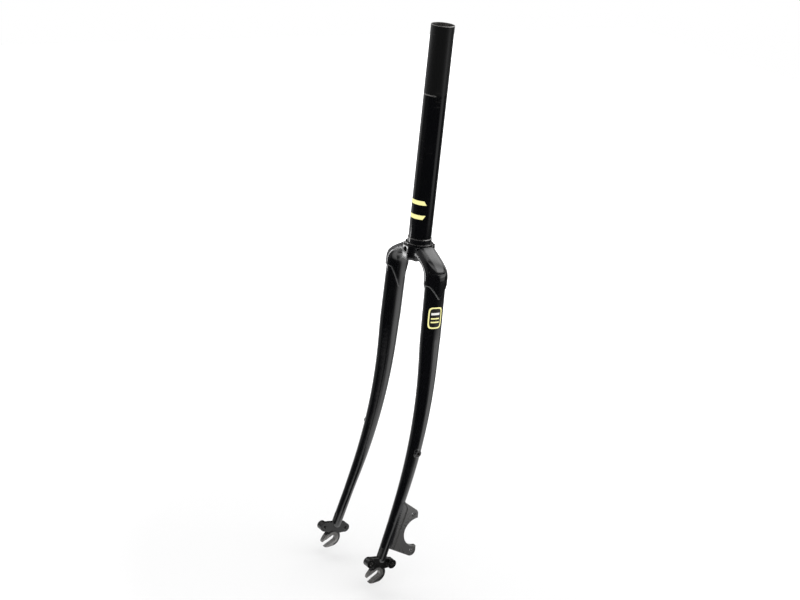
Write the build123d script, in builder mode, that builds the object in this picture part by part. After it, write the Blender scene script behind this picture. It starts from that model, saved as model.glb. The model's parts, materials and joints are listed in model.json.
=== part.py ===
from build123d import *
import os
from math import atan, atan2, cos, degrees, radians, sin, sqrt, tan

# Rigid touring fork for a disc brake. Millimetres, +Z up the steerer, +X to the rider's left
# and -Y forwards. The origin is the centre of the shoulder that the lower headset race sits on.
# Heights given as "below" or "down" are measured from that shoulder.

# Steerer tube
steerer_diameter = 28.6
steerer_wall = 1.6
steerer_above_seat = 269.0
butt_wall = 2.5  # thicker wall where the tube is brazed into the crown
butt_length = 80.0
butt_taper = 30.0
steerer_end_chamfer = 0.4
spigot_step = 0.4  # the tube is turned down this far where it stands in the crown

# Crown casting
race_seat_diameter = 30.0
race_seat_height = 6.5
race_seat_chamfer = 0.4
collar_diameter = 34.4  # ring under the race
collar_height = 2.5
crown_depth = 20.0
shoulder_slope = 28.0  # degrees down from level, along the top of each arm
arm_depth = 29.0  # front to back, where an arm leaves the middle
arm_rise = 0.6  # the arms' underside stands this far above the middle's
arm_root = 5.0  # the arms start this far from the middle, inside it
arch_flat = 17.0  # half width of the level stretch under the crown
lug_top = 36.0  # down to where the arms have turned into lugs
lug_base = 41.0  # down to the lug edge at the front and back of a blade
lug_wall = 1.7
outer_point = 57.5  # down to the lug's point on the outer face
inner_point = 69.0  # down to the longer point on the inner face
lug_edge_width = 24.0  # front to back, across the root of a point
nose_reach = 20.0  # middle to the flat front and back faces
nose_width = 12.4
nose_root_width = 30.0
nose_root_reach = 13.5
nose_hollow = 2.2  # how deep the nose's flanks are hollowed
nose_down = 3.0  # down to the top of the nose
nose_edge = 0.8
arm_power = 2.6  # how square an arm's section is at the middle, 2 being a plain oval
shoulder_fullness = 2.2  # how sharply the top of an arm turns down into the lug
lug_root_radius = 5.0
lug_point_radius = 1.0
arm_spans = 6
outline_points = 16
crown_hole_diameter = 6.5
crown_hole_down = 7.4

# Blades
rake = 50.0
axle_drop = 417.0
blade_spread = 40.9  # middle to a blade's line, level with the seat
blade_long = 28.0  # oval, front to back
blade_wide = 20.0  # oval, side to side
blade_tip_diameter = 12.5
blade_wall = 1.0
blade_top = 24.0  # down to the upper end of a blade, inside the crown
taper_start = 110.0  # down to where the oval starts to taper
bend_start = 150.0
tip_straight = 96.0  # straight stretch from the end of the bend to the axle
tip_to_axle = 20.0  # middle of the domed tip to the axle
round_tip = 48.0  # length of the plain round stretch above the domed tip
taper_spans = 8

# Dropouts, with places given from the axle as (rearwards, upwards)
dropout_spacing = 100.0  # between the faces that the hub seats on
dropout_thickness = 6.2
axle_slot = 9.0
slot_angle = 30.0  # degrees below straight ahead
slot_reach = 7.0
jaw_radius = 12.0
jaw_end_radius = 9.2
neck_radius = 8.5
neck_up = 14.0
tongue_length = 14.0
front_eyelet = (-13.3, 17.8)
rear_eyelet = (18.6, 11.5)
eyelet_radius = 6.0
eyelet_thickness = 9.5
axle_seat_radius = 8.5  # sunk seat for the axle nut, open at the mouth of the slot
axle_seat_depth = 1.0
hub_face_radius = 10.2  # raised face for the hub
hub_face_height = 0.8
dropout_edge = 0.7
thread_drill = 4.2  # tapping size of an M5 thread

# Disc brake mount
mount_set_out = 2.5  # the plate's inner face stands this far outside the hub's face
mount_thickness = 6.0
mount_hole_spacing = 51.0
mount_hole_diameter = 6.2
mount_lower_hole = (47.0, 24.0)  # from the axle
mount_lean = 2.2  # degrees that the upper hole leans forwards
mount_ear_radius = 7.0
mount_scoop_depth = 12.3  # from the line through the holes to the bottom of the scoop
mount_foot_start = 35.5  # along the blade from the axle
mount_foot_end = 99.0
mount_foot_front = 3.0  # behind the blade's line
mount_foot_back = 11.2
mount_foot_step = 1.2  # the foot lies this far below each face of the plate
mount_edge = 0.5

# Rack bosses
rack_boss_diameter = 9.8
rack_boss_height = 2.6
rack_boss_sink = 4.0
rack_boss_along = 144.0  # along the blade, up from the domed tip
rack_boss_edge = 0.8

braze_gap = 0.1  # room for filler all round each joint

# Worked out from the sizes above
dropout_inner = dropout_spacing / 2 + hub_face_height
dropout_middle = dropout_inner + dropout_thickness / 2
splay = atan((dropout_middle - blade_spread) / axle_drop)
blade_line = axle_drop / cos(splay)
bend_run = blade_line - bend_start
bend_radius = (rake**2 + bend_run**2 - tip_straight**2) / (2 * rake)
bend_angle = atan2(tip_straight, -bend_radius) - atan2(bend_run, rake - bend_radius)
tip_radius = blade_tip_diameter / 2
mount_inner_face = dropout_spacing / 2 + mount_set_out

# The brake mount's scoop touches both of its round ears.
scoop_chord = (mount_hole_spacing / 2) ** 2 + mount_scoop_depth**2 - mount_ear_radius**2
scoop_radius = scoop_chord / (2 * (mount_ear_radius + mount_scoop_depth))


# The plane of one blade's bend: local x is forwards, local y runs up the blade's line.
def blade_plane(side):
    return Plane(
        origin=(side * blade_spread, 0, 0),
        x_dir=(0, -1, 0),
        z_dir=(-cos(splay), 0, -side * sin(splay)),
    )


# Across a blade, square to its plane and pointing away from the wheel.
def outwards(side):
    return Vector(side * cos(splay), 0, sin(splay))


# Middle line of one blade, from its end in the crown to its domed tip.
def blade_path(side):
    with BuildLine(blade_plane(side)) as path:
        top = Line((0, -blade_top), (0, -bend_start))
        bend = JernArc(start=top @ 1, tangent=top % 1, radius=bend_radius, arc_size=degrees(bend_angle))
        tip_end = (bend @ 1) + (bend % 1) * (tip_straight - tip_to_axle)
        Line(bend @ 1, tip_end)
    return path.wire()


# Half sizes of the blade, side to side and front to back, at a length along its path.
def blade_half_sizes(path, length):
    start = taper_start - blade_top
    run = path.length - round_tip - start
    share = min(max((length - start) / run, 0), 1)
    wide = blade_wide / 2 + (tip_radius - blade_wide / 2) * share
    long = blade_long / 2 + (tip_radius - blade_long / 2) * share
    return wide, long


# Plane square to the blade's path, with local x across the fork.
def blade_station(side, path, length):
    share = length / path.length
    return Plane(origin=path.position_at(share), x_dir=outwards(side), z_dir=path.tangent_at(share))


# Solid form of one blade with its surface moved inwards by inset, or outwards if that is negative.
def blade_form(side, inset):
    path = blade_path(side)
    start = taper_start - blade_top
    run = path.length - round_tip - start
    with BuildPart() as form:
        with BuildSketch(blade_station(side, path, 0)):
            Ellipse(blade_wide / 2 - inset, blade_long / 2 - inset)
        extrude(amount=start)
        for i in range(taper_spans + 1):
            length = start + run * i / taper_spans
            wide, long = blade_half_sizes(path, length)
            with BuildSketch(blade_station(side, path, length)):
                Ellipse(wide - inset, long - inset)
        loft()
        with BuildSketch(blade_station(side, path, start + run)):
            Circle(tip_radius - inset)
        extrude(amount=round_tip)
        with Locations(path.position_at(1)):
            Sphere(tip_radius - inset)
    return form.part


# Upright plane beside the wheel, centred on the axle: local x is rearwards, local y is upwards.
def dropout_plane(side, from_middle):
    return Plane(origin=(side * from_middle, -rake, -axle_drop), x_dir=(0, 1, 0), z_dir=(1, 0, 0))


# A place beside the blade's tip: along its line from the axle, and behind that line.
def beside_tip(along, behind):
    back = along * sin(bend_angle) + behind * cos(bend_angle)
    up = along * cos(bend_angle) - behind * sin(bend_angle)
    return back, up


# Middle of a rack boss: the blade's path there, and how far out the blade's surface is.
def rack_boss_plane(side):
    path = blade_path(side)
    length = path.length - rack_boss_along
    wide, long = blade_half_sizes(path, length)
    surface = path.position_at(length / path.length) + outwards(side) * wide
    return Plane(origin=surface, x_dir=(0, 1, 0), z_dir=outwards(side))


def make_blade(side):
    outer = blade_form(side, 0)
    bore = blade_form(side, blade_wall)
    slot_depth = tip_to_axle + tongue_length + braze_gap
    with BuildPart() as blade:
        add(outer)
        add(bore, mode=Mode.SUBTRACT)
        # saw cut for the dropout's tongue
        with BuildSketch(dropout_plane(side, dropout_inner - braze_gap)):
            with Locations(beside_tip(slot_depth / 2, 0)):
                Rectangle(2 * blade_tip_diameter, slot_depth, rotation=-degrees(bend_angle))
        extrude(amount=side * (dropout_thickness + 2 * braze_gap), mode=Mode.SUBTRACT)
        # hole for the rack boss, through the outer wall only
        with BuildSketch(rack_boss_plane(side)):
            Circle(rack_boss_diameter / 2 + braze_gap)
        extrude(amount=rack_boss_sink + braze_gap, both=True, mode=Mode.SUBTRACT)
    return blade.part


def make_dropout(side):
    tongue_end = tip_to_axle + tongue_length
    tongue_half = sqrt(tip_radius**2 - (dropout_thickness / 2) ** 2)
    neck = beside_tip(neck_up, 0)
    slot_way = Vector(-cos(radians(slot_angle)), -sin(radians(slot_angle)))
    jaw_end = slot_way * slot_reach
    slot_length = slot_reach + jaw_end_radius
    slot_middle = slot_way * (slot_length / 2)
    outer_face = dropout_inner + dropout_thickness
    with BuildPart() as dropout:
        with BuildSketch(dropout_plane(side, dropout_inner)):
            with BuildSketch(mode=Mode.PRIVATE) as jaws:
                Circle(jaw_radius)
                with Locations(jaw_end):
                    Circle(jaw_end_radius)
                make_hull()
            add(jaws.sketch)
            for eyelet in (front_eyelet, rear_eyelet):
                with BuildSketch(mode=Mode.PRIVATE) as arm:
                    with Locations(eyelet):
                        Circle(eyelet_radius)
                    with Locations(neck):
                        Circle(neck_radius)
                    make_hull()
                add(arm.sketch)
            with Locations(beside_tip(tongue_end / 2, 0)):
                Rectangle(2 * tongue_half, tongue_end, rotation=-degrees(bend_angle))
        extrude(amount=side * dropout_thickness)
        chamfer(dropout.faces().filter_by(Axis.X).edges(), dropout_edge)
        # face for the hub on the wheel side
        with BuildSketch(dropout_plane(side, dropout_spacing / 2)):
            Circle(hub_face_radius)
        extrude(amount=side * hub_face_height)
        # thick threaded eyelets
        with BuildSketch(dropout_plane(side, dropout_inner)):
            with Locations(front_eyelet, rear_eyelet):
                Circle(eyelet_radius)
        extrude(amount=side * eyelet_thickness)
        # sunk seat for the axle nut
        with BuildSketch(dropout_plane(side, outer_face)):
            Circle(axle_seat_radius)
            with Locations(slot_middle):
                Rectangle(slot_length, 2 * axle_seat_radius, rotation=slot_angle)
        extrude(amount=-side * axle_seat_depth, mode=Mode.SUBTRACT)
        with BuildSketch(dropout_plane(side, 0)):
            Circle(axle_slot / 2)
            with Locations(slot_middle):
                Rectangle(slot_length, axle_slot, rotation=slot_angle)
            with Locations(front_eyelet, rear_eyelet):
                Circle(thread_drill / 2)
        extrude(amount=side * 2 * dropout_inner, mode=Mode.SUBTRACT)
    return dropout.part


def make_steerer():
    outer = steerer_diameter / 2
    spigot = outer - spigot_step
    top_bore = outer - steerer_wall
    butt_bore = outer - butt_wall
    bottom = -crown_depth
    with BuildPart() as steerer:
        with BuildSketch(Plane.XZ):
            with BuildLine():
                Polyline(
                    (butt_bore, bottom),
                    (spigot, bottom),
                    (spigot, race_seat_height),
                    (outer, race_seat_height),
                    (outer, steerer_above_seat - steerer_end_chamfer),
                    (outer - steerer_end_chamfer, steerer_above_seat),
                    (top_bore, steerer_above_seat),
                    (top_bore, bottom + butt_length + butt_taper),
                    (butt_bore, bottom + butt_length),
                    close=True,
                )
            make_face()
        revolve(axis=Axis.Z)
        # the crown's hole runs on through the tube
        with BuildSketch(Plane.XZ):
            with Locations((0, -crown_hole_down)):
                Circle(crown_hole_diameter / 2)
        extrude(amount=steerer_diameter, both=True, mode=Mode.SUBTRACT)
    return steerer.part


# A closed rounded outline: a plain oval at power 2, nearer a rectangle at higher powers. Every outline
# has its points at the same steps, so that those of one arm match.
def arm_outline(half_across, half_up, power):
    points = []
    steps = [i / outline_points for i in range(outline_points + 1)]
    for i in range(outline_points):
        turn = radians(360 * i / outline_points)
        across = abs(cos(turn)) ** (2 / power) * (1 if cos(turn) >= 0 else -1)
        up = abs(sin(turn)) ** (2 / power) * (1 if sin(turn) >= 0 else -1)
        points.append(Vector(half_across * across, half_up * up))
    return Edge.make_spline(points, periodic=True, parameters=steps)


# Section of one crown arm, as its plane and outline: share 0 is at the end of the level stretch
# under the crown and share 1 is the top of the lug. The underside follows a quarter of an oval,
# and the top is a sloping line that turns down into the lug.
def arm_section(side, share):
    lug_middle = blade_spread + lug_top * tan(splay)
    lug_half = blade_wide / 2 + lug_wall
    lug_outer = lug_middle + lug_half * cos(splay)
    lug_inner = lug_middle - lug_half * cos(splay)
    lug_rise = lug_half * sin(splay)
    turn = radians(90 * share)
    under_x = arch_flat + (lug_inner - arch_flat) * sin(turn)
    under_start = crown_depth - arm_rise
    under_z = -under_start - (lug_top + lug_rise - under_start) * (1 - cos(turn))
    corner_z = -collar_height - (lug_outer - arch_flat) * tan(radians(shoulder_slope))
    start = (1 - share) ** 2
    pull = shoulder_fullness * 2 * share * (1 - share)
    end = share**2
    top_x = (start * arch_flat + (pull + end) * lug_outer) / (start + pull + end)
    top_z = (pull * corner_z - start * collar_height - end * (lug_top - lug_rise)) / (start + pull + end)
    half_up = sqrt((top_x - under_x) ** 2 + (top_z - under_z) ** 2) / 2
    lug_across = blade_long / 2 + lug_wall
    half_across = arm_depth / 2 + (lug_across - arm_depth / 2) * share
    middle = Vector(side * (top_x + under_x) / 2, 0, (top_z + under_z) / 2)
    across = Vector(0, side, 0)
    up = Vector(side * (top_x - under_x), 0, top_z - under_z)
    plane = Plane(origin=middle, x_dir=across, z_dir=across.cross(up))
    return plane, arm_outline(half_across, half_up, arm_power + (2 - arm_power) * share)


def make_crown_arm(side):
    root_plane, root_outline = arm_section(side, 0)
    lug_plane, lug_outline = arm_section(side, 1)
    with BuildPart() as arm:
        with BuildSketch(root_plane):
            with BuildLine():
                add(root_outline)
            make_face()
        extrude(amount=arm_root - arch_flat)
        for i in range(arm_spans + 1):
            plane, outline = arm_section(side, i / arm_spans)
            with BuildSketch(plane):
                with BuildLine():
                    add(outline)
                make_face()
        loft()
        with BuildSketch(lug_plane):
            with BuildLine():
                add(lug_outline)
            make_face()
        extrude(amount=inner_point)
        # the lug's lower edge, cut away below a long point on the inner face and a shorter one outside
        well_below = -2 * inner_point
        for point_down, way in ((outer_point, -side), (inner_point, side)):
            with BuildSketch(blade_plane(side)):
                with BuildLine():
                    edge = FilletPolyline(
                        (-blade_long, -lug_base),
                        (-lug_edge_width / 2, -lug_base),
                        (0, -point_down),
                        (lug_edge_width / 2, -lug_base),
                        (blade_long, -lug_base),
                        radius=[lug_root_radius, lug_point_radius, lug_root_radius],
                    )
                    Polyline(edge @ 1, (blade_long, well_below), (-blade_long, well_below), edge @ 0)
                make_face()
            extrude(amount=way * blade_wide, mode=Mode.SUBTRACT)
    return arm.part


def make_crown():
    arms = [make_crown_arm(side) for side in (1, -1)]
    blade_room = [blade_form(side, -braze_gap) for side in (1, -1)]
    with BuildPart() as crown:
        with BuildSketch(Plane.XY.offset(-crown_depth)):
            Circle(collar_diameter / 2)
        extrude(amount=crown_depth)
        with BuildSketch():
            Circle(race_seat_diameter / 2)
        extrude(amount=race_seat_height)
        chamfer(crown.edges().filter_by(GeomType.CIRCLE).sort_by(Axis.Z)[-1], race_seat_chamfer)
        # flat-faced nose, front and back, with hollowed flanks
        for way in (-1, 1):
            with BuildSketch(Plane.XY.offset(-crown_depth)) as nose:
                with BuildLine():
                    face = Line((-nose_width / 2, way * nose_reach), (nose_width / 2, way * nose_reach))
                    for hand, end in ((-1, face @ 0), (1, face @ 1)):
                        root = (hand * nose_root_width / 2, way * nose_root_reach)
                        SagittaArc(end, root, -hand * way * nose_hollow)
                        Line(root, (root[0], 0))
                    Line((-nose_root_width / 2, 0), (nose_root_width / 2, 0))
                make_face()
                fillet(nose.vertices().sort_by(Axis((0, 0, 0), (0, way, 0)))[-2:], nose_edge)
            extrude(amount=crown_depth - nose_down)
        add(arms)
        with BuildSketch(Plane.XY.offset(-crown_depth)):
            Circle(steerer_diameter / 2 - spigot_step + braze_gap)
        extrude(amount=crown_depth + race_seat_height, mode=Mode.SUBTRACT)
        with BuildSketch(Plane.XZ):
            with Locations((0, -crown_hole_down)):
                Circle(crown_hole_diameter / 2)
        extrude(amount=2 * nose_reach, both=True, mode=Mode.SUBTRACT)
        add(blade_room, mode=Mode.SUBTRACT)
    return crown.part


def make_disc_mount():
    lower = mount_lower_hole
    lean = radians(mount_lean)
    upper = (lower[0] - mount_hole_spacing * sin(lean), lower[1] + mount_hole_spacing * cos(lean))
    scoop_back = scoop_radius - mount_scoop_depth
    scoop = (
        (lower[0] + upper[0]) / 2 + scoop_back * cos(lean),
        (lower[1] + upper[1]) / 2 + scoop_back * sin(lean),
    )
    foot_width = mount_foot_back - mount_foot_front
    foot_corners = [
        beside_tip(mount_foot_start, mount_foot_front),
        beside_tip(mount_foot_start, mount_foot_back),
        beside_tip(mount_foot_end - foot_width, mount_foot_back),
        beside_tip(mount_foot_end, mount_foot_front),
    ]
    blade_room = blade_form(1, -braze_gap)
    with BuildPart() as mount:
        with BuildSketch(dropout_plane(1, mount_inner_face)):
            with BuildSketch(mode=Mode.PRIVATE) as web:
                for hole in (lower, upper):
                    with Locations(hole):
                        Circle(mount_ear_radius)
                with BuildLine():
                    Polyline(*foot_corners, close=True)
                make_hull()
            add(web.sketch)
            with Locations(scoop):
                Circle(scoop_radius, mode=Mode.SUBTRACT)
        extrude(amount=mount_thickness)
        chamfer(mount.faces().filter_by(Axis.X).edges(), mount_edge)
        # foot along the blade, thinned on both faces
        for face in (mount_inner_face, mount_inner_face + mount_thickness - mount_foot_step):
            with BuildSketch(dropout_plane(1, face)):
                with BuildLine():
                    Polyline(*foot_corners, close=True)
                make_face()
            extrude(amount=mount_foot_step, mode=Mode.SUBTRACT)
        with BuildSketch(dropout_plane(1, 0)):
            with Locations(lower, upper):
                Circle(mount_hole_diameter / 2)
        extrude(amount=2 * mount_inner_face, mode=Mode.SUBTRACT)
        add(blade_room, mode=Mode.SUBTRACT)
    return mount.part


def make_rack_boss(side):
    with BuildPart() as boss:
        with BuildSketch(rack_boss_plane(side).offset(-rack_boss_sink)):
            Circle(rack_boss_diameter / 2)
            Circle(thread_drill / 2, mode=Mode.SUBTRACT)
        extrude(amount=rack_boss_sink + rack_boss_height)
        outer_end = boss.faces().filter_by(GeomType.PLANE).sort_by(Axis.X)[-1 if side > 0 else 0]
        chamfer(outer_end.outer_wire().edges(), rack_boss_edge)
    return boss.part


pieces = {
    "steerer_tube": make_steerer(),
    "fork_crown": make_crown(),
    "left_blade": make_blade(1),
    "right_blade": make_blade(-1),
    "left_dropout": make_dropout(1),
    "right_dropout": make_dropout(-1),
    "disc_brake_mount": make_disc_mount(),
    "left_rack_boss": make_rack_boss(1),
    "right_rack_boss": make_rack_boss(-1),
}
os.makedirs("parts", exist_ok=True)
for name, piece in pieces.items():
    piece.label = name
    export_step(piece, f"parts/{name}.step")
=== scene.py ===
import json
import math

import bpy
import numpy as np
from mathutils import Euler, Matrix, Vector


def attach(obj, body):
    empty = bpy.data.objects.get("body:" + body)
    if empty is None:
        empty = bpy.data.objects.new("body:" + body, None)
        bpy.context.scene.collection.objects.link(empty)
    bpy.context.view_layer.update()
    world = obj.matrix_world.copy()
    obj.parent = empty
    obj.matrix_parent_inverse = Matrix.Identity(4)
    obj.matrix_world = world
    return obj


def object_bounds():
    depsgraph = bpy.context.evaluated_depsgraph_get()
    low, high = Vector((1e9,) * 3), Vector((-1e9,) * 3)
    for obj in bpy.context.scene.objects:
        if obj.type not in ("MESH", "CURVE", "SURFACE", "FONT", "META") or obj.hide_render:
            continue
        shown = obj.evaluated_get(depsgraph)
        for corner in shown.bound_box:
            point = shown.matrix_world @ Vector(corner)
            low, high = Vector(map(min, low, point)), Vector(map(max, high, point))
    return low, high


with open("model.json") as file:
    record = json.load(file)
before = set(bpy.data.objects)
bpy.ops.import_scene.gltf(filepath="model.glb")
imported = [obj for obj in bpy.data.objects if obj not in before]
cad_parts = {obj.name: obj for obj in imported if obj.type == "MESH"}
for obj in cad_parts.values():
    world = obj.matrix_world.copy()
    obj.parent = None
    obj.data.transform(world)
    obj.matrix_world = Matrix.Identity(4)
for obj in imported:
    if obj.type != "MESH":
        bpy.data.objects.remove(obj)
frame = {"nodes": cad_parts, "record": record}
cadLow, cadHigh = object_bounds()
scene = bpy.context.scene
scene.view_settings.view_transform = "Standard"
mounts = {m["name"]: m for m in frame["record"]["mounts"]}
print("frame loaded:", len(frame["nodes"]), "nodes")

# camera at the photo's angle
viewpoint = {
    "place": (1.78175, -1.30309, 0.67244),
    "turn": (71.129, -5.796, 56.209),            # degrees
    "lens": 84.773, "sensor": 36.0,              # millimetres
}
cameraData = bpy.data.cameras.new("photoCamera")
cameraData.lens = viewpoint["lens"]
cameraData.sensor_width = viewpoint["sensor"]
cameraData.sensor_fit = "HORIZONTAL"
camera = bpy.data.objects.new("photoCamera", cameraData)
camera.location = viewpoint["place"]
camera.rotation_euler = Euler([math.radians(a) for a in viewpoint["turn"]])
scene.collection.objects.link(camera)
scene.camera = camera
# level directions away from the camera and to its right
farWay = Vector((-viewpoint["place"][0], -viewpoint["place"][1], 0)).normalized()
rightWay = Vector((farWay.y, -farWay.x, 0))


# feeds a socket by a link from another socket, or with a plain value
def feed(tree, value, socket):
    if isinstance(value, bpy.types.NodeSocket):
        tree.links.new(value, socket)
    else:
        socket.default_value = value


# adds one shader node: props are its settings, ins its input values or links
def put(tree, kind, ins=None, **props):
    node = tree.nodes.new("ShaderNode" + kind)
    for name, value in props.items():
        setattr(node, name, value)
    for key, value in (ins or {}).items():
        feed(tree, value, node.inputs[key])
    return node


def maths(tree, operation, first, second=0.0):
    return put(tree, "Math", {0: first, 1: second}, operation=operation).outputs[0]


# sum of two values, each times its own weight
def weighted(tree, first, firstWeight, second, secondWeight):
    return maths(tree, "ADD", maths(tree, "MULTIPLY", first, firstWeight),
                 maths(tree, "MULTIPLY", second, secondWeight))


# a sum on vectors that gives one number, such as DOT_PRODUCT or DISTANCE
def measured(tree, operation, first, second=(0, 0, 0)):
    return put(tree, "VectorMath", {0: first, 1: second}, operation=operation).outputs["Value"]


# smooth step of a value from one range to another
def ramped(tree, value, low, high, outLow=0.0, outHigh=1.0):
    ins = {"Value": value, "From Min": low, "From Max": high, "To Min": outLow, "To Max": outHigh}
    return put(tree, "MapRange", ins, interpolation_type="SMOOTHSTEP").outputs["Result"]


# a Mix node keeps its sockets for colours and for plain values at different places
def mixColour(tree, share, first, second):
    return put(tree, "Mix", {0: share, 6: first, 7: second}, data_type="RGBA").outputs[2]


def mixValue(tree, share, first, second):
    return put(tree, "Mix", {0: share, 2: first, 3: second}, data_type="FLOAT").outputs[0]


# starts a shader node group and returns its tree with its input and output nodes
def startGroup(name, inputs, outputs):
    group = bpy.data.node_groups.new(name, "ShaderNodeTree")
    for socket, default in inputs.items():
        kind = "NodeSocketVector" if isinstance(default, tuple) else "NodeSocketFloat"
        made = group.interface.new_socket(socket, in_out="INPUT", socket_type=kind)
        made.default_value = default
    for socket, kind in outputs.items():
        group.interface.new_socket(socket, in_out="OUTPUT", socket_type="NodeSocket" + kind)
    return group, group.nodes.new("NodeGroupInput"), group.nodes.new("NodeGroupOutput")


# rays that meet the surroundings: seen directly, and mirrored or through glass
def roomRays(tree):
    path = put(tree, "LightPath")
    mirrored = maths(tree, "MAXIMUM", path.outputs["Is Glossy Ray"], path.outputs["Is Transmission Ray"])
    return path.outputs["Is Camera Ray"], mirrored


# studio: a white room, dim on the camera's own side so that black gloss stays black
studio = {
    "roomDim": 0.02,
    "ambient": 1.3,
    "horizon": (0.06, -0.02),    # a ray that falls from the first slope to the second meets the far level
    "floorDrop": 0.012,          # floor below the lowest point
    "floorSize": 6.0,
    "floorColour": 0.62,
    "floorGlow": 0.13,           # the part of the floor's white that no shadow darkens
    "whiteReach": (0.3, 0.8),    # the floor turns pure white over this stretch
    "footGlow": 1.1,             # how bright the floor close to the fork mirrors
    "footReach": (0.2, 0.68),    # that glow is full up to the first distance and gone at the second
    "panelReach": (1.0, 1.35),   # the panels change to their far level over this stretch of floor
    "shade": (0.17, 0.03),       # middle of the dim patch of floor that the near dropout mirrors
    "shadeReach": (0.07, 0.14),
    "shadeLevel": 0.05,
}
# soft panels round the room, by the angle from the camera's own direction in degrees, right is plus;
# far is the share of the level that is left on the far floor and just below the horizon
roomPanels = {
    "rightNear": {"from": 66, "to": 118, "soft": 16, "level": 1.0, "far": 0.05},
    "rightFar": {"from": 136, "to": 166, "soft": 7, "level": 1.1, "far": 0.3},
    "leftFar": {"from": -162, "to": -108, "soft": 12, "level": 0.5, "far": 1.0},
    "leftNear": {"from": -100, "to": -62, "soft": 14, "level": 0.2, "far": 0.3},
}
roomGlow, groupIn, groupOut = startGroup(
    "roomGlow", {"Way": (0.0, 0.0, 1.0), "Far": 0.0}, {"Level": "Float"})
toward = measured(roomGlow, "DOT_PRODUCT", groupIn.outputs["Way"], -farWay)
rightward = measured(roomGlow, "DOT_PRODUCT", groupIn.outputs["Way"], rightWay)
angle = maths(roomGlow, "DEGREES", maths(roomGlow, "ARCTAN2", rightward, toward))
total = studio["roomDim"]
for panelLight in roomPanels.values():
    start, end, soft = (panelLight[key] for key in ("from", "to", "soft"))
    lit = maths(roomGlow, "MULTIPLY", ramped(roomGlow, angle, start - soft, start + soft),
                ramped(roomGlow, angle, end + soft, end - soft))
    panelLevel = mixValue(roomGlow, groupIn.outputs["Far"], panelLight["level"],
                          panelLight["level"] * panelLight["far"])
    total = maths(roomGlow, "ADD", total, maths(roomGlow, "MULTIPLY", lit, panelLevel))
roomGlow.links.new(total, groupOut.inputs["Level"])

world = bpy.data.worlds.new("studioRoom")
scene.world = world
world.use_nodes = True
tree = world.node_tree
tree.nodes.clear()
seen, mirrored = roomRays(tree)
way = put(tree, "TexCoord").outputs["Generated"]
below = ramped(tree, put(tree, "SeparateXYZ", {0: way}).outputs["Z"], *studio["horizon"])
roomLevel = put(tree, "Group", {"Way": way, "Far": below}, node_tree=roomGlow).outputs["Level"]
level = mixValue(tree, seen, mixValue(tree, mirrored, studio["ambient"], roomLevel), 1.0)
background = put(tree, "Background", {"Color": level})
put(tree, "OutputWorld", {"Surface": background.outputs[0]})

floorHeight = cadLow.z - studio["floorDrop"]
half = studio["floorSize"] / 2
floorMesh = bpy.data.meshes.new("studioFloor")
floorMesh.from_pydata([(-half, -half, floorHeight), (half, -half, floorHeight),
                       (half, half, floorHeight), (-half, half, floorHeight)], [], [(0, 1, 2, 3)])
floor = bpy.data.objects.new("studioFloor", floorMesh)
scene.collection.objects.link(floor)
floorPaint = bpy.data.materials.new("floorWhite")
floorPaint.use_nodes = True
tree = floorPaint.node_tree
tree.nodes.clear()
seen, mirrored = roomRays(tree)
spot = put(tree, "TexCoord").outputs["Object"]
flatSpot = put(tree, "VectorMath", {0: spot, 1: (1, 1, 0)}, operation="MULTIPLY").outputs["Vector"]
outward = measured(tree, "LENGTH", flatSpot)
farFloor = ramped(tree, outward, *studio["panelReach"])
panelGlow = put(tree, "Group", {"Way": flatSpot, "Far": farFloor}, node_tree=roomGlow).outputs["Level"]
footGlow = ramped(tree, outward, *studio["footReach"], studio["footGlow"], 0.0)
offShade = measured(tree, "DISTANCE", flatSpot, studio["shade"] + (0,))
mirrorGlow = maths(tree, "MULTIPLY", maths(tree, "MAXIMUM", panelGlow, footGlow),
                   ramped(tree, offShade, *studio["shadeReach"], studio["shadeLevel"], 1.0))
seenGlow = ramped(tree, outward, *studio["whiteReach"], studio["floorGlow"], 1.0)
floorTone = mixColour(tree, mirrored, (studio["floorColour"],) * 3 + (1,), (0, 0, 0, 1))
lit = put(tree, "BsdfDiffuse", {"Color": floorTone})
glowing = put(tree, "Emission", {"Color": weighted(tree, seen, seenGlow, mirrored, mirrorGlow)})
both = put(tree, "AddShader", {0: lit.outputs[0], 1: glowing.outputs[0]})
put(tree, "OutputMaterial", {"Surface": both.outputs[0]})
floorMesh.materials.append(floorPaint)

# soft boxes and cards: place, aim and size in metres, radiance as a share of white
lamps = {
    "overheadBox": {"place": (0.1, 1.05, 1.25), "aim": (0.03, 0, -0.05),
                    "size": (1.8, 0.8), "radiance": 1.25},
    "rightBox": {"place": (1.05, 1.0, -0.05), "aim": (0.05, 0, -0.2),
                 "size": (0.9, 0.7), "radiance": 0.45},
    "leftBox": {"place": (-0.9, -1.1, 0.35), "aim": (0, 0, -0.1),
                "size": (0.5, 0.9), "radiance": 0.3},
    "noseCard": {"place": (-0.267, -0.2125, -0.114), "aim": (0, -0.02, -0.0115),
                 "size": (0.06, 0.06), "radiance": 6.0},
    "floorCard": {"place": (-0.62, -0.02, -0.42), "aim": (0, -0.02, -0.02),
                  "size": (0.6, 0.5), "radiance": 0.6},
}
for name, box in lamps.items():
    lampData = bpy.data.lights.new(name, "AREA")
    lampData.shape = "RECTANGLE"
    lampData.size, lampData.size_y = box["size"]
    lampData.energy = box["radiance"] * math.pi * box["size"][0] * box["size"][1]
    lamp = bpy.data.objects.new(name, lampData)
    lamp.location = box["place"]
    lamp.rotation_euler = (Vector(box["aim"]) - Vector(box["place"])).to_track_quat("-Z", "Y").to_euler()
    lamp.visible_camera = False
    scene.collection.objects.link(lamp)
print("studio set:", len(lamps), "lamps")


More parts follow.
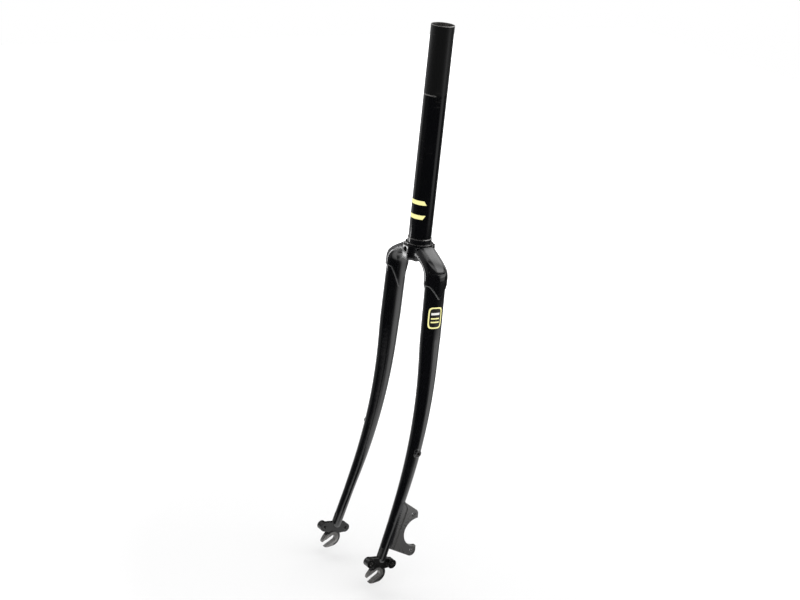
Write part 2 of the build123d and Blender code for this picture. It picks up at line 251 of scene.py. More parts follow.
# paint rounds every edge it flows over: the normal is turned near edges, and Edge is 1 on them
edgeLook = {"samples": 5, "turned": (0.985, 0.86)}      # cosines of the turn where Edge starts and is full
softEdges, groupIn, groupOut = startGroup(
    "softEdges", {"Radius": 0.0005}, {"Normal": "Vector", "Edge": "Float"})
bevel = put(softEdges, "Bevel", {"Radius": groupIn.outputs["Radius"]}, samples=edgeLook["samples"])
rounded = bevel.outputs["Normal"]
agree = measured(softEdges, "DOT_PRODUCT", rounded, put(softEdges, "NewGeometry").outputs["Normal"])
softEdges.links.new(rounded, groupOut.inputs["Normal"])
softEdges.links.new(ramped(softEdges, agree, *edgeLook["turned"]), groupOut.inputs["Edge"])

# sprayed paint in use: orange peel as a height, hand smudges, settled dust and fine rubbed lines; the
# noises first, then the range of a noise or slope over which each mark begins to show
paintUse = {
    "peel": {"Detail": 2.0}, "peelStrength": 0.35,
    "smudge": {"Scale": 48.0, "Detail": 5.0, "Roughness": 0.62},
    "grain": {"Scale": 2300.0, "Detail": 1.0},
    "line": {"Detail": 3.0}, "lineStretch": (0.02, 0.02, 1.0),
    "speck": {"Scale": 420.0, "Detail": 4.0, "Roughness": 0.7},
    "dustSlope": (0.05, 1.0), "dustPatch": (0.35, 0.7), "dustGrain": (0.4, 0.75),
    "rubbedLine": (0.62, 0.74), "rubbedPatch": (0.5, 0.66),
    "smudged": (0.3, 0.75), "specked": (0.3, 0.7),
}
usedPaint, groupIn, groupOut = startGroup(
    "usedPaint", {"Peel Scale": 620.0, "Line Scale": 1900.0},
    {"Height": "Float", "Smudge": "Float", "Dust": "Float", "Lines": "Float", "Speck": "Float"})
spot = put(usedPaint, "TexCoord").outputs["Object"]
stretched = put(usedPaint, "Mapping", {"Vector": spot, "Scale": paintUse["lineStretch"]}).outputs[0]
peelScale, lineScale = ({"Scale": groupIn.outputs[name]} for name in ("Peel Scale", "Line Scale"))
peel = put(usedPaint, "TexNoise", {"Vector": spot, **peelScale, **paintUse["peel"]}).outputs[0]
line = put(usedPaint, "TexNoise", {"Vector": stretched, **lineScale, **paintUse["line"]}).outputs[0]
smudge, grain, speck = (put(usedPaint, "TexNoise", {"Vector": spot, **paintUse[name]}).outputs[0]
                        for name in ("smudge", "grain", "speck"))
upward = put(usedPaint, "SeparateXYZ", {0: put(usedPaint, "NewGeometry").outputs["Normal"]}).outputs["Z"]
settled = maths(usedPaint, "MULTIPLY", ramped(usedPaint, upward, *paintUse["dustSlope"]),
                ramped(usedPaint, smudge, *paintUse["dustPatch"]))
dusted = maths(usedPaint, "MULTIPLY", settled, ramped(usedPaint, grain, *paintUse["dustGrain"]))
rubbed = maths(usedPaint, "MULTIPLY", ramped(usedPaint, line, *paintUse["rubbedLine"]),
               ramped(usedPaint, smudge, *paintUse["rubbedPatch"]))
for socket, value in (("Height", peel), ("Smudge", smudge), ("Dust", dusted), ("Lines", rubbed),
                      ("Speck", speck)):
    usedPaint.links.new(value, groupOut.inputs[socket])

# what each painted finish looks like; chips is the share of an edge that is rubbed to bare steel
finishes = {
    "glossBlack": {"colour": (0.0016, 0.0017, 0.0023), "gloss": (0.06, 0.16), "peel": 0.00002,
                   "edge": 0.0006, "dust": 0.05, "lines": 0.05, "chips": 0.10, "steel": 0.42, "ior": 1.75},
    "crownBlack": {"colour": (0.0016, 0.0017, 0.0023), "gloss": (0.06, 0.16), "peel": 0.00002,
                   "edge": 0.0006, "dust": 0.05, "lines": 0.05, "chips": 0.12, "steel": 0.50, "ior": 1.75},
    # the beads are painted black like the rest, but their colour here is far lighter: painted highlight that
    # makes the lug and boss edges show as light lines
    "beadBlackPaintedGlint": {"colour": (0.030, 0.030, 0.031), "gloss": (0.08, 0.18), "peel": 0.00003,
                  "edge": 0.0003, "dust": 0.16, "lines": 0.05, "chips": 0.0, "steel": 0.42, "ior": 1.9},
    "steererBlack": {"colour": (0.0016, 0.0017, 0.0022), "gloss": (0.08, 0.2), "peel": 0.00002,
                     "edge": 0.0004, "dust": 0.05, "lines": 0.12, "chips": 0.0, "steel": 0.50, "ior": 1.52},
    "dropoutBlack": {"colour": (0.0025, 0.0024, 0.0024), "gloss": (0.2, 0.42), "peel": 0.00004,
                     "edge": 0.0007, "dust": 0.12, "lines": 0.10, "chips": 0.40, "steel": 0.24, "ior": 1.5},
    # the tab is the same black paint, but its colour here is far lighter: painted reflection of the bright
    # room on its flat faces
    "tabBlackPaintedReflection": {"colour": (0.052, 0.051, 0.050), "gloss": (0.2, 0.34), "peel": 0.00003,
                 "edge": 0.0006, "dust": 0.2, "lines": 0.08, "chips": 0.25, "steel": 0.35, "ior": 1.9},
}
# what they share: chips appear where the speck noise is over a limit that falls as chips rises
dustColour = (0.30, 0.28, 0.26, 1)
chipLook = {"from": 0.66, "to": 0.72, "fall": 0.3, "strength": 4}
bareSteel = {"tint": (1.0, 0.975, 0.95), "bright": 1.15, "dull": 0.6, "patches": (0.38, 0.62),
             "rough": (0.24, 0.48)}
dulledPaint = {"rough": 0.34, "dust": 0.008}


# one painted finish, with bareAndGlintMask for worn steel and for thin bare-steel lines that are painted
# highlights, dulledMask for satin paint and edgeReach for how far edges are rounded where that changes over
# the piece
def paintMaterial(name, bareAndGlintMask=None, dulledMask=None, edgeReach=None):
    look = finishes[name]
    material = bpy.data.materials.new(name)
    material.use_nodes = True
    tree = material.node_tree
    shader = tree.nodes["Principled BSDF"]
    edges = put(tree, "Group", node_tree=softEdges)
    feed(tree, edgeReach(tree) if edgeReach else look["edge"], edges.inputs["Radius"])
    used = put(tree, "Group", node_tree=usedPaint)
    speck, smudge = used.outputs["Speck"], used.outputs["Smudge"]
    chipFrom, chipTo = (chipLook[key] - chipLook["fall"] * look["chips"] for key in ("from", "to"))
    chipAndGlint = maths(tree, "MULTIPLY", edges.outputs["Edge"], ramped(tree, speck, chipFrom, chipTo))
    chipAndGlint = maths(tree, "MULTIPLY", chipAndGlint, min(1.0, look["chips"] * chipLook["strength"]))
    # the mask passed in adds worn steel, and on the crown and steerer thin steel lines that are painted
    # highlights
    if bareAndGlintMask:
        chipAndGlint = maths(tree, "MAXIMUM", chipAndGlint, bareAndGlintMask(tree, used))
    dust = weighted(tree, used.outputs["Dust"], look["dust"], used.outputs["Lines"], look["lines"])
    colour = mixColour(tree, dust, look["colour"] + (1,), dustColour)
    rough = ramped(tree, smudge, *paintUse["smudged"], *look["gloss"])
    if dulledMask:
        dulled = dulledMask(tree)
        rough = mixValue(tree, dulled, rough, dulledPaint["rough"])
        colour = mixColour(tree, maths(tree, "MULTIPLY", dulled, dulledPaint["dust"]), colour, dustColour)
    brightSteel, dullSteel = (
        tuple(look["steel"] * bareSteel[tone] * part for part in bareSteel["tint"]) + (1,)
        for tone in ("bright", "dull"))
    steel = mixColour(tree, ramped(tree, smudge, *bareSteel["patches"]), brightSteel, dullSteel)
    colour = mixColour(tree, chipAndGlint, colour, steel)
    rough = mixValue(tree, chipAndGlint, rough, ramped(tree, speck, *paintUse["specked"], *bareSteel["rough"]))
    bump = put(tree, "Bump", {"Strength": paintUse["peelStrength"], "Distance": look["peel"],
                              "Height": used.outputs["Height"], "Normal": edges.outputs["Normal"]})
    shader.inputs["IOR"].default_value = look["ior"]
    tree.links.new(colour, shader.inputs["Base Color"])
    tree.links.new(rough, shader.inputs["Roughness"])
    tree.links.new(chipAndGlint, shader.inputs["Metallic"])
    tree.links.new(bump.outputs[0], shader.inputs["Normal"])
    return material


def place(tree):
    return put(tree, "SeparateXYZ", {0: put(tree, "TexCoord").outputs["Object"]}).outputs


# how far a point is from an axis along one of X, Y or Z, given by its other two coordinates
def fromAxis(tree, first, second, centre):
    offA = maths(tree, "SUBTRACT", first, centre[0])
    offB = maths(tree, "SUBTRACT", second, centre[1])
    return maths(tree, "SQRT", weighted(tree, offA, offA, offB, offB))


steererRadius = 0.0143
steererWear = {
    "bore": 0.0133, "boreSoft": 0.0001,
    "rim": cadHigh.z - 0.00035, "rimSoft": 0.00015,
    "line": 0.1852, "lineHalf": 0.0009, "lineCore": 0.0001, "waver": 0.002,
    # side and the reach after it keep the rubbed line to the front-left of the tube: painted highlight
    "side": math.radians(20), "glintReach": (0.74, 0.9),      # where the line shows, round from the front
    "dulled": (-0.001, 0.002),                               # heights from the line
}


# bare steel in the bore, on the cut top rim and along the rubbed line under the spacers; the line is kept to
# the front-left face of the tube, so there it is worn steel and painted highlight together
def steererBareAndGlint(tree, used):
    wear = steererWear
    x, y, z = place(tree)
    radius = fromAxis(tree, x, y, (0, 0))
    inside = ramped(tree, radius, wear["bore"] + wear["boreSoft"], wear["bore"])
    rim = ramped(tree, z, wear["rim"] - wear["rimSoft"], wear["rim"])
    waver = maths(tree, "MULTIPLY", maths(tree, "SUBTRACT", used.outputs["Speck"], 0.5), wear["waver"])
    offLine = maths(tree, "ADD", maths(tree, "SUBTRACT", z, wear["line"]), waver)
    ring = ramped(tree, maths(tree, "ABSOLUTE", offLine), wear["lineHalf"], wear["lineCore"])
    # painted highlight: the ring shows only where the tube faces front-left
    sideways = weighted(tree, x, math.sin(wear["side"]), y, -math.cos(wear["side"]))
    facing = maths(tree, "DIVIDE", sideways, steererRadius)
    ring = maths(tree, "MULTIPLY", ring, ramped(tree, facing, *wear["glintReach"]))
    return maths(tree, "MAXIMUM", maths(tree, "MAXIMUM", inside, rim), ring)


# the paint above the rubbed line has been dulled by spacers and stem
def steererDulled(tree):
    low, high = (steererWear["line"] + off for off in steererWear["dulled"])
    return ramped(tree, place(tree)["Z"], low, high)


axleSpot = mounts["front_axle"]["pos_m"]
slotWay = mounts["front_axle"]["axis"]
dropoutWear = {
    "rubbed": 0.0105, "rubbedSoft": 0.003,                   # radius round the axle
    "jaws": 0.0002, "jawsSoft": 0.004,                       # from the axle out along the slot
    "jawHalf": 0.0115, "jawHalfSoft": 0.002,                 # to each side of the slot
    "smudge": 0.9, "speck": 0.5, "ragged": 0.7,              # noises that fray the border, and their middle
    "bare": (0.62, 0.8), "share": 0.8,
}


# the hub and axle nuts have rubbed the paint off the jaws and round the end of the slot
def dropoutBare(tree, used):
    wear = dropoutWear
    spot = place(tree)
    radius = fromAxis(tree, spot["Y"], spot["Z"], axleSpot[1:])
    near = ramped(tree, radius, wear["rubbed"], wear["rubbed"] - wear["rubbedSoft"])
    back = maths(tree, "SUBTRACT", spot["Y"], axleSpot[1])
    up = maths(tree, "SUBTRACT", spot["Z"], axleSpot[2])
    along = weighted(tree, back, slotWay[1], up, slotWay[2])
    across = maths(tree, "ABSOLUTE", weighted(tree, back, -slotWay[2], up, slotWay[1]))
    jaws = maths(tree, "MULTIPLY", ramped(tree, along, wear["jaws"], wear["jaws"] + wear["jawsSoft"]),
                 ramped(tree, across, wear["jawHalf"], wear["jawHalf"] - wear["jawHalfSoft"]))
    ragged = weighted(tree, used.outputs["Smudge"], wear["smudge"], used.outputs["Speck"], wear["speck"])
    worn = maths(tree, "ADD", maths(tree, "MAXIMUM", near, jaws),
                 maths(tree, "SUBTRACT", ragged, wear["ragged"]))
    return ramped(tree, worn, *wear["bare"], 0.0, wear["share"])


crownWear = {
    "seatRadius": 0.0152, "seatBare": 0.0056, "seatSoft": 0.0003, "radiusSoft": 0.0002,
    # the collar values place the painted highlight line round the collar's upper edge
    "collarRadius": 0.0168, "collarHalf": (0.0007, 0.0003), "rubbed": (0.34, 0.52),
    "archRound": 0.006, "archHalf": 0.034, "archSoft": 0.004,
    "archTop": (-0.004, -0.010), "archFoot": (-0.043, -0.037),
}


# the race has scraped the rim of its seat to bare steel, and a thin bare-steel line round the collar's upper
# edge is a painted highlight for the glint on that edge
def crownBareAndGlint(tree, used):
    wear = crownWear
    x, y, z = place(tree)
    radius = fromAxis(tree, x, y, (0, 0))
    seat = maths(tree, "MULTIPLY", ramped(tree, z, wear["seatBare"] - wear["seatSoft"], wear["seatBare"]),
                 ramped(tree, radius, wear["seatRadius"] + wear["radiusSoft"], wear["seatRadius"]))
    # painted highlight: thin line of bare steel round the collar's upper edge
    collarGlint = maths(tree, "MULTIPLY", ramped(tree, maths(tree, "ABSOLUTE", z), *wear["collarHalf"]),
                   ramped(tree, radius, wear["collarRadius"], wear["collarRadius"] + wear["radiusSoft"]))
    rubbed = ramped(tree, used.outputs["Smudge"], *wear["rubbed"])
    return maths(tree, "MULTIPLY", maths(tree, "MAXIMUM", seat, collarGlint), rubbed)


# the cast arch under the crown is dressed far rounder than the lug edges
def crownEdges(tree):
    wear = crownWear
    spot = place(tree)
    sideways = maths(tree, "ABSOLUTE", spot["X"])
    arch = ramped(tree, sideways, wear["archHalf"], wear["archHalf"] - wear["archSoft"])
    arch = maths(tree, "MULTIPLY", arch, ramped(tree, spot["Z"], *wear["archTop"]))
    arch = maths(tree, "MULTIPLY", arch, ramped(tree, spot["Z"], *wear["archFoot"]))
    return mixValue(tree, arch, finishes["crownBlack"]["edge"], wear["archRound"])


glossBlack = paintMaterial("glossBlack")
crownBlack = paintMaterial("crownBlack", crownBareAndGlint, edgeReach=crownEdges)
steererBlack = paintMaterial("steererBlack", steererBareAndGlint, steererDulled)
dropoutBlack = paintMaterial("dropoutBlack", dropoutBare)
# tab finish: painted reflection in its lighter colour
tabBlackPaintedReflection = paintMaterial("tabBlackPaintedReflection")
# bead finish: painted highlight in its lighter colour
beadBlackPaintedGlint = paintMaterial("beadBlackPaintedGlint")
nodeFinishes = {
    "steerer_tube": steererBlack, "fork_crown": crownBlack, "disc_brake_mount": tabBlackPaintedReflection,
    "left_blade": glossBlack, "right_blade": glossBlack,
    "left_dropout": dropoutBlack, "right_dropout": dropoutBlack,
    "left_rack_boss": glossBlack, "right_rack_boss": glossBlack,
}
for name, material in nodeFinishes.items():
    nodeMesh = frame["nodes"][name].data
    nodeMesh.materials.clear()
    nodeMesh.materials.append(material)
print("painted:", len(nodeFinishes), "nodes")


# numbers of the quads on a grid of points; a wrapped grid joins its last row or column to its first
def gridFaces(rows, columns, wrapRows, wrapColumns):
    row = np.arange(rows if wrapRows else rows - 1)[:, None]
    column = np.arange(columns if wrapColumns else columns - 1)[None, :]
    nextRow, nextColumn = (row + 1) % rows, (column + 1) % columns
    corners = [row * columns + column, row * columns + nextColumn,
               nextRow * columns + nextColumn, nextRow * columns + column]
    return np.stack(np.broadcast_arrays(*corners), -1).reshape(-1, 4)


# makes a closed piece from grids of points, each (rows, columns, 3) with its profile wrapped round;
# rows are wrapped too, or closed by a flat cap at both ends, and faces are turned to point outwards
def sweptPiece(name, grids, material, wrapRows=False, sharp=35):
    points, faces, start = [], [], 0
    for grid in grids:
        rows, columns = grid.shape[:2]
        flat = grid.reshape(-1, 3)
        quads = gridFaces(rows, columns, wrapRows, True)
        a, b, c, d = (flat[quads[:, k]] - flat.mean(0) for k in range(4))
        volume = (np.cross(a, b) * c).sum() + (np.cross(a, c) * d).sum()
        turn = 1 if volume > 0 else -1
        faces += (quads[:, ::turn] + start).tolist()
        if not wrapRows:
            ring = np.arange(columns) + start
            faces += [ring[::-turn].tolist(), (ring[::turn] + (rows - 1) * columns).tolist()]
        points.append(flat)
        start += len(flat)
    mesh = bpy.data.meshes.new(name)
    mesh.from_pydata(np.concatenate(points).tolist(), [], faces)
    mesh.validate()
    mesh.shade_smooth()
    mesh.set_sharp_from_angle(angle=math.radians(sharp))
    mesh.materials.append(material)
    piece = bpy.data.objects.new(name, mesh)
    scene.collection.objects.link(piece)
    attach(piece, "root")
    return piece


# blade sizes in metres: the oval's widths, then lengths down its middle line
blade = {
    "spread": 0.0409, "footSpread": 0.0539, "long": 0.028, "wide": 0.020, "tip": 0.0125, "top": 0.024,
    "taperStart": 0.110, "bendStart": 0.150, "tipStraight": 0.096, "tipToAxle": 0.020, "roundTip": 0.048,
}
rake, axleDrop = -axleSpot[1], -axleSpot[2]
splay = math.atan((blade["footSpread"] - blade["spread"]) / axleDrop)
bendRun = axleDrop / math.cos(splay) - blade["bendStart"]
bendRadius = (rake**2 + bendRun**2 - blade["tipStraight"]**2) / (2 * rake)
bendAngle = math.atan2(blade["tipStraight"], -bendRadius) - math.atan2(bendRun, rake - bendRadius)
bendTop = blade["bendStart"] - blade["top"]
bendFoot = bendTop + bendRadius * bendAngle
bladeLength = bendFoot + blade["tipStraight"] - blade["tipToAxle"]


# point on a blade and its outward normal: length down the middle line from the blade's top, angle round
# the oval from straight outwards (0) over the front (90 degrees), and how far proud of the surface. The
# middle line is straight, then an arc in the blade's plane, then straight; the oval shrinks evenly to a
# circle
def bladeSurface(side, length, angle, proud=0.0):
    length, angle, proud = np.broadcast_arrays(*(np.asarray(v, float) for v in (length, angle, proud)))
    share = np.clip((length - blade["taperStart"] + blade["top"])
                    / (bladeLength - blade["roundTip"] - blade["taperStart"] + blade["top"]), 0, 1)
    wide = blade["wide"] / 2 + (blade["tip"] / 2 - blade["wide"] / 2) * share
    long = blade["long"] / 2 + (blade["tip"] / 2 - blade["long"] / 2) * share
    bent = np.clip((length - bendTop) / bendRadius, 0, bendAngle)
    beyond = np.maximum(length - bendFoot, 0)
    straight = np.minimum(length, bendTop)
    forward = bendRadius * (1 - np.cos(bent)) + beyond * np.sin(bent)
    down = blade["top"] + straight + bendRadius * np.sin(bent) + beyond * np.cos(bent)
    outDir = np.array([side * math.cos(splay), 0, math.sin(splay)])
    upDir = np.array([-side * math.sin(splay), 0, math.cos(splay)])
    frontDir = np.array([0, -1.0, 0])
    foreDir = np.cos(bent)[..., None] * frontDir + np.sin(bent)[..., None] * upDir      # square to the line
    root = np.array([side * blade["spread"], 0, 0])
    middle = root + forward[..., None] * frontDir - down[..., None] * upDir
    normal = (np.cos(angle) / wide)[..., None] * outDir + (np.sin(angle) / long)[..., None] * foreDir
    normal /= np.linalg.norm(normal, axis=-1, keepdims=True)
    point = middle + (wide * np.cos(angle))[..., None] * outDir + (long * np.sin(angle))[..., None] * foreDir
    return point + proud[..., None] * normal, normal


# profile of a hollow bead: a concave quarter circle from its foot on the blade up the edge it fills, closed
# below the surface; gives distances from the edge and heights over the blade
def hollowBead(bead, steps=7):
    turn = np.linspace(0, np.pi / 2, steps)
    out, high, back, under = (bead[key] for key in ("beadOut", "beadHigh", "beadBack", "beadUnder"))
    outs = np.concatenate([out * (1 - np.sin(turn)), [-back, -back, out]])
    highs = np.concatenate([high * (1 - np.cos(turn)), [high, -under, -under]])
    return outs, highs


# lug's lower edge and its brazing; a waver is a share of the bead's size and its count round the edge
lug = {
    "base": 0.041, "outerPoint": 0.0575, "innerPoint": 0.069, "halfWidth": 0.012, "rootRadius": 0.005,
    "pointRadius": 0.001, "beadOut": 0.0012, "beadHigh": 0.0014, "beadBack": 0.0004, "beadUnder": 0.0003,
    "slowWaver": (0.10, 9), "quickWaver": (0.06, 23),
}


# depth of the lug's edge below the race seat against distance from the middle of its face. A level edge
# falls to a point along a straight line, with an arc of one radius at the root and another at the tip
def lugDepth(across, pointDepth):
    slope = np.arctan((pointDepth - lug["base"]) / lug["halfWidth"])
    root, tip = lug["rootRadius"], lug["pointRadius"]
    reach = root * np.tan(slope / 2)
    arcMiddle = lug["halfWidth"] + reach
    rootArc = lug["base"] + root - np.sqrt(np.maximum(root**2 - (across - arcMiddle)**2, 0))
    line = pointDepth - across * np.tan(slope)
    tipArc = pointDepth - tip / np.cos(slope) + np.sqrt(np.maximum(tip**2 - across**2, 0))
    return np.where(across > arcMiddle, lug["base"],
                    np.where(across > lug["halfWidth"] - reach * np.cos(slope), rootArc,
                             np.where(across > tip * np.sin(slope), line, tipArc)))


# hollow bead of brazing filler carried along a lug's edge, its size wavering as a hand-fed bead's does
def lugBead(side, steps=420):
    angle = np.linspace(0, 2 * np.pi, steps, endpoint=False)
    across = np.abs(np.sin(angle)) * blade["long"] / 2
    depth = lugDepth(across, np.where(np.cos(angle) > 0, lug["outerPoint"], lug["innerPoint"]))
    edge, normal = bladeSurface(side, depth - blade["top"], angle)
    along = np.roll(edge, -1, 0) - np.roll(edge, 1, 0)
    along /= np.linalg.norm(along, axis=1, keepdims=True)
    away = np.cross(along, normal)
    away *= np.sign(-away[:, 2:3].mean())
    slow, slowCount = lug["slowWaver"]
    quick, quickCount = lug["quickWaver"]
    size = 1 + slow * np.sin(slowCount * angle + side) + quick * np.sin(quickCount * angle)
    outs, highs = hollowBead(lug)
    profile = outs[None, :, None] * away[:, None] + highs[None, :, None] * normal[:, None]
    return edge[:, None] + size[:, None, None] * profile


for side, hand in ((1, "left"), (-1, "right")):
    # the beads' lighter colour is a painted highlight along the lug edges
    sweptPiece(hand + "LugBead", [lugBead(side)], beadBlackPaintedGlint, wrapRows=True)
print("lug beads made")

# fillet weld along the brake tab's foot, on both of its faces; start and end are measured up from the axle
tabWeld = {
    "start": 0.0352, "end": 0.0985, "outerFace": 0.0573, "innerFace": 0.0537,
    "onBlade": 0.42, "onTab": 0.0026,            # reach in radians round the blade and metres on the tab
    "bulge": 0.0004, "proud": 0.00002, "sunk": 0.0004, "cornerLimit": 0.99,
    "endPower": 14, "endSize": 0.03, "ripple": 0.06, "ripples": 21,
}


# three-point curve across the joint: a point on the blade, the corner itself, and a point on the tab's face,
# swept along the blade and shrinking to nothing at both ends
def tabFillet(face, turnWay, steps=120, across=9):
    weld = tabWeld
    run = np.linspace(0, 1, steps)
    ripple = 1 + weld["ripple"] * np.sin(2 * np.pi * run * weld["ripples"])
    swell = np.clip(1 - np.abs(2 * run - 1)**weld["endPower"], weld["endSize"], 1) * ripple
    length = bladeLength - (weld["start"] + (weld["end"] - weld["start"]) * run - blade["tipToAxle"])
    outermost = bladeSurface(1, length, 0.0)[0]
    innermost = bladeSurface(1, length, np.pi)[0]
    middle, halfWide = (outermost + innermost) / 2, (outermost - innermost)[:, 0] / 2
    sideShare = np.clip((face - middle[:, 0]) / halfWide, -weld["cornerLimit"], weld["cornerLimit"])
    corner = -np.arccos(sideShare)
    joint, jointNormal = bladeSurface(1, length, corner)
    onBlade, bladeNormal = bladeSurface(1, length, corner + turnWay * weld["onBlade"] * swell, weld["proud"])
    rearward = np.array([0, math.cos(bendAngle), -math.sin(bendAngle)])
    faceNormal = np.array([turnWay, 0, 0.0])
    onTab = joint + weld["onTab"] * swell[:, None] * rearward + weld["proud"] * faceNormal
    t = np.linspace(0, 1, across)[None, :, None]
    curve = (1 - t)**2 * onBlade[:, None] + 2 * t * (1 - t) * joint[:, None] + t**2 * onTab[:, None]
    bulge = weld["bulge"] * swell[:, None, None] * np.sin(np.pi * t)
    curve = curve + bulge * (jointNormal + faceNormal)[:, None] / 2
    sunk = np.stack([onTab - weld["sunk"] * faceNormal,
                     joint - weld["sunk"] * (jointNormal + faceNormal),
                     onBlade - weld["sunk"] * bladeNormal], 1)
    return np.concatenate([curve, sunk], 1)


tabFillets = [tabFillet(tabWeld["outerFace"], 1), tabFillet(tabWeld["innerFace"], -1)]
sweptPiece("tabWeld", tabFillets, glossBlack)
print("tab weld made")

# rack boss on a blade, and the filler at its foot; ovalHalf is half the blade from front to rear there
rackBoss = {
    "radius": 0.0049, "alongFromTip": 0.144, "ovalHalf": 0.0117,
    "beadOut": 0.0012, "beadHigh": 0.0011, "beadBack": 0.0003, "beadUnder": 0.0004,
}


# ring of filler: the hollow bead turned round the boss and laid on the blade
def bossBead(side, steps=96):
    around = np.linspace(0, 2 * np.pi, steps, endpoint=False)[:, None]
    outs, highs = hollowBead(rackBoss)
    radius = rackBoss["radius"] + outs[None, :]
    length = bladeLength - rackBoss["alongFromTip"] + radius * np.sin(around)
    angle = np.arcsin(radius * np.cos(around) / rackBoss["ovalHalf"])
    return bladeSurface(side, length, angle, highs[None, :] + 0 * radius)[0]


for side, hand in ((1, "left"), (-1, "right")):
    # the same lighter colour, a painted highlight round the boss feet
    sweptPiece(hand + "BossBead", [bossBead(side)], beadBlackPaintedGlint, wrapRows=True)
print("boss beads made")

# threads in the eyelets and rack bosses, and the steel that a tap leaves
threads = {
    "pitch": 0.0008, "ridge": 0.00025, "wall": 0.0001, "perTurn": 8, "shortBy": 0.0002, "proud": 0.00001,
    "darkSteel": (0.10, 0.095, 0.09, 1), "lightSteel": (0.34, 0.33, 0.32, 1),
    "smudged": (0.3, 0.7), "rough": (0.28, 0.5),
}
tappedSteel = bpy.data.materials.new("tappedSteel")
tappedSteel.use_nodes = True
tree = tappedSteel.node_tree
shader = tree.nodes["Principled BSDF"]
used = put(tree, "Group", node_tree=usedPaint)
steel = mixColour(tree, used.outputs["Speck"], threads["darkSteel"], threads["lightSteel"])
rough = ramped(tree, used.outputs["Smudge"], *threads["smudged"], *threads["rough"])
tree.links.new(steel, shader.inputs["Base Color"])
tree.links.new(rough, shader.inputs["Roughness"])
shader.inputs["Metallic"].default_value = 1.0


# lining of a tapped hole: its inner radius waves once each pitch along the axis, and the wave turns with the
# angle round the axis, which makes the helix; the outer wall is a little inside the metal
def threadLining(mount, around=40):
    middle, axis = np.array(mount["pos_m"]), np.array(mount["axis"], float)
    radius = mount["dims"]["r_mm"] / 1000
    length = mount["dims"]["length_mm"] / 1000 - threads["shortBy"]
    first = np.cross(axis, (0, 0, 1.0))
    first /= np.linalg.norm(first)
    second = np.cross(axis, first)
    turn = np.linspace(0, 2 * np.pi, around, endpoint=False)[:, None]
    run = np.linspace(-length / 2, length / 2, int(length / threads["pitch"] * threads["perTurn"]))[None, :]
    wave = 0.5 + 0.5 * np.cos(2 * np.pi * run / threads["pitch"] - turn)
    inner = radius - threads["ridge"] * wave * np.clip((length / 2 - np.abs(run)) / threads["pitch"], 0, 1)
    inner = inner - threads["proud"]
    outer = np.full((around, 2), radius + threads["wall"])
    radii = np.concatenate([inner, outer], 1)[..., None]
    runs = np.concatenate([run, run[:, -1:], run[:, :1]], 1)[..., None] + 0 * radii
    return middle + runs * axis + radii * (np.cos(turn)[..., None] * first + np.sin(turn)[..., None] * second)


for name, mount in mounts.items():
    if mount["kind"] == "threaded_hole":
        lining = threadLining(mount)
        sweptPiece(name + "_thread", [lining], tappedSteel, wrapRows=True, sharp=80)
print("threads cut")

filmLook = {"grimePatch": (0.5, 0.8), "grime": 0.16, "lines": 0.3, "grimeColour": (0.03, 0.028, 0.025, 1),
            "ior": 1.5}


# printed film: an even colour with fine rubbed lines, smudged gloss and a little grime
def filmMaterial(name, colour, gloss):
    material = bpy.data.materials.new(name)
    material.use_nodes = True
    tree = material.node_tree
    shader = tree.nodes["Principled BSDF"]
    used = put(tree, "Group", node_tree=usedPaint)
    smudge = used.outputs["Smudge"]
    grime = ramped(tree, smudge, *filmLook["grimePatch"], 0.0, filmLook["grime"])
    grime = maths(tree, "ADD", grime, maths(tree, "MULTIPLY", used.outputs["Lines"], filmLook["lines"]))
    tinted = mixColour(tree, grime, colour + (1,), filmLook["grimeColour"])
    tree.links.new(tinted, shader.inputs["Base Color"])
    tree.links.new(ramped(tree, smudge, *paintUse["smudged"], *gloss), shader.inputs["Roughness"])
    shader.inputs["IOR"].default_value = filmLook["ior"]
    return material


yellowFilm = filmMaterial("yellowFilm", (0.95, 0.91, 0.38), (0.22, 0.4))
whiteFilm = filmMaterial("whiteFilm", (0.82, 0.82, 0.78), (0.22, 0.4))
darkFilm = filmMaterial("darkFilm", (0.012, 0.011, 0.010), (0.3, 0.5))

# two plain bands on the steerer: heights in metres, angles in degrees from the front towards the left
steererBands = {
    "thick": 0.00007, "sunk": 0.00005,
    "upperBand": {"low": 0.0500, "high": 0.0552, "from": -62, "to": 64, "lean": -2600},
    "lowerBand": {"low": 0.0320, "high": 0.0372, "from": -62, "to": 64, "lean": 2600},
}


# strip of a cylinder between two heights; its end slants, as the end angle changes with height by lean,
# in degrees a metre
def steererBand(band, steps=90):
    low, high = band["low"], band["high"]
    height = np.array([low, low, (low + high) / 2, high, high, (low + high) / 2])
    proud = np.array([-steererBands["sunk"], *[steererBands["thick"]] * 3, *[-steererBands["sunk"]] * 2])
    end = band["to"] + band["lean"] * (height - (low + high) / 2)
    angle = np.radians(band["from"] + (end - band["from"]) * np.linspace(0, 1, steps)[:, None])
    radius = steererRadius + proud
    return np.stack([radius * np.sin(angle), -radius * np.cos(angle), height + 0 * angle], -1)


for name in ("upperBand", "lowerBand"):
    sweptPiece(name, [steererBand(steererBands[name])], yellowFilm)

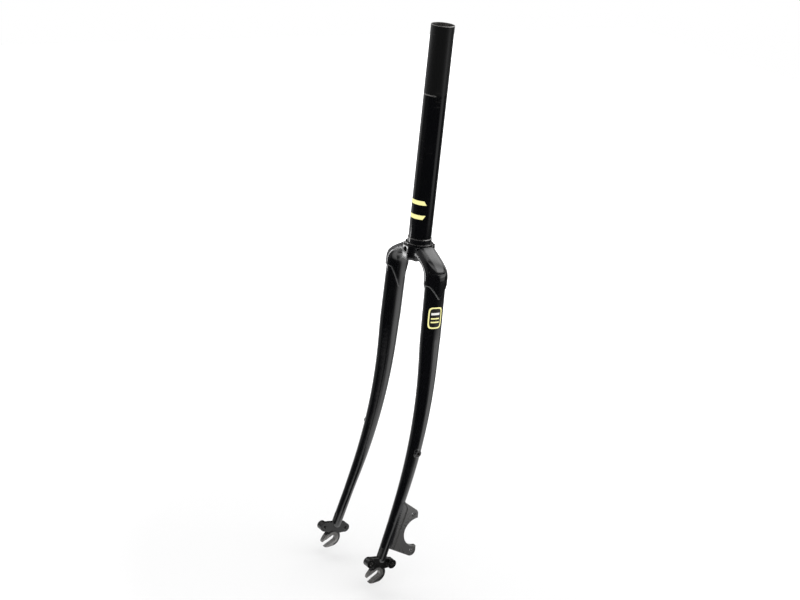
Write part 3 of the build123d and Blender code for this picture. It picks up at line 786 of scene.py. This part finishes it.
# plain panel on the left blade: a rounded rectangle with a border and three bars, and no words
panel = {
    "centreAngle": math.radians(10), "depth": 0.0813, "halfWide": 0.0093, "halfHigh": 0.0136, "corner": 5.0,
    "border": 0.0017, "thick": 0.00007, "sunk": 0.00005,
    "raised": 1.6,                                           # border and bars, in thicknesses of the film
    "fieldInset": 0.0004, "fieldRows": 60, "rowCrowding": 1.5, "rowEnd": 0.999,
    "bars": {"whiteBar": (-0.0052, 0.0028, whiteFilm), "upperYellowBar": (0.0008, 0.0017, yellowFilm),
             "lowerYellowBar": (0.0054, 0.0017, yellowFilm)},      # height below the middle, width, finish
    "barHalf": 0.0056, "barRows": 6,
    "ovalReach": (-1.6, 2.0), "ovalSteps": 600,              # stretch of the oval that is measured, radians
}
raised = panel["raised"] * panel["thick"]
ovalAngle = np.linspace(*panel["ovalReach"], panel["ovalSteps"])
ovalSpeed = np.hypot(blade["wide"] / 2 * np.sin(ovalAngle), blade["long"] / 2 * np.cos(ovalAngle))
ovalArc = np.concatenate([[0], np.cumsum((ovalSpeed[1:] + ovalSpeed[:-1]) / 2 * np.diff(ovalAngle))])
ovalArc -= np.interp(panel["centreAngle"], ovalAngle, ovalArc)


# point of the panel: across is measured round the blade's oval, below down the blade, both from the
# panel's middle
def onPanel(across, below, proud):
    angle = np.interp(across, ovalArc, ovalAngle)
    return bladeSurface(1, panel["depth"] + below - blade["top"], angle, proud)[0]


# filled patch: rows run down the blade, and each is a thin closed strip as wide as halfWidth says
def panelPatch(below, halfWidth, rise, columns=24):
    across = np.linspace(-1, 1, columns)[None, :] * halfWidth[:, None]
    loop = np.concatenate([across, across[:, ::-1]], 1)
    proud = np.concatenate([np.full(across.shape, rise), np.full(across.shape, -panel["sunk"])], 1)
    return onPanel(loop, below[:, None] + 0 * loop, proud)


# border: the rounded rectangle |a/A|^n + |b/B|^n = 1 as a path, with a flat thin profile carried along it
def panelBorder(steps=320):
    turn = np.linspace(0, 2 * np.pi, steps, endpoint=False)[:, None]
    power = 2 / panel["corner"]
    inset = np.array([0, 0, panel["border"] / 2, panel["border"], panel["border"]])[None, :]
    proud = np.array([-panel["sunk"], raised, raised, raised, -panel["sunk"]])[None, :]
    across = (panel["halfWide"] - inset) * np.sign(np.cos(turn)) * np.abs(np.cos(turn))**power
    below = (panel["halfHigh"] - inset) * np.sign(np.sin(turn)) * np.abs(np.sin(turn))**power
    return onPanel(across, below, proud + 0 * across)


# field inside the border: the same rounded rectangle as rows, which crowd towards its rounded ends
def panelField():
    crowding, corner = panel["rowCrowding"], panel["corner"]
    share = np.sin(np.linspace(-1, 1, panel["fieldRows"]) * crowding) / math.sin(crowding) * panel["rowEnd"]
    halfWidth = (panel["halfWide"] - panel["fieldInset"]) * (1 - np.abs(share)**corner)**(1 / corner)
    return panelPatch(share * (panel["halfHigh"] - panel["fieldInset"]), halfWidth, panel["thick"])


sweptPiece("panelField", [panelField()], darkFilm)
sweptPiece("panelBorder", [panelBorder()], yellowFilm, wrapRows=True)
for name, (below, width, film) in panel["bars"].items():
    rows = below + np.linspace(-width / 2, width / 2, panel["barRows"])
    bar = panelPatch(rows, np.full(panel["barRows"], panel["barHalf"]), raised)
    sweptPiece(name, [bar], film)
print("bands and panel laid")
